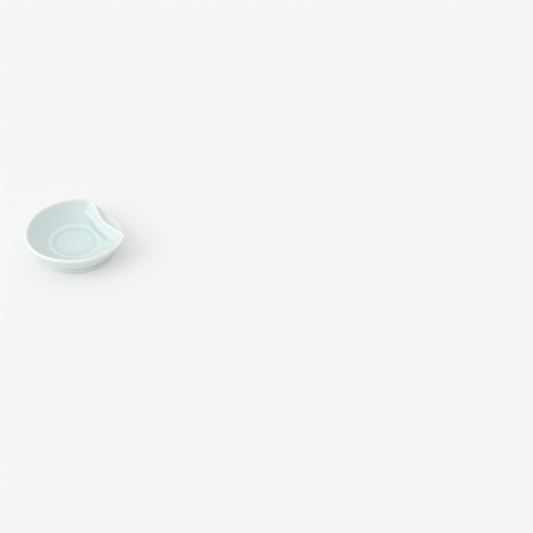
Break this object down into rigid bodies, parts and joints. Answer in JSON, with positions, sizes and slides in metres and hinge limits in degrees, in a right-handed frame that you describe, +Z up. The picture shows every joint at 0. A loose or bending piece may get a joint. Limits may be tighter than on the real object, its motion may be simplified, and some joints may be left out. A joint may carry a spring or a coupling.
{
  "type": "chopstick rest",
  "caption": "Small round porcelain dish on a foot ring, with one side of its rim folded in to a shallow V crest that chopsticks lie across.",
  "frame": {"origin": "centre of the round foot, on the plane that the dish stands on", "axes": "+Z up, +X out through the middle of the folded side of the rim, +Y across the fold, along its crest"},
  "size_m": [0.051, 0.0508, 0.0125],
  "materials": {
    "porcelain": "bare fired white clay, fine and matt",
    "celadon_glaze": "glossy pale blue-green glaze, deeper where it pools and white where it runs thin"
  },
  "bodies": {
    "root": {"porcelain_body": "porcelain", "foot_ring": "porcelain", "inside_glaze": "celadon_glaze", "outside_glaze": "celadon_glaze", "foot_glaze": "celadon_glaze", "base_glaze": "celadon_glaze"}
  },
  "joints": []
}
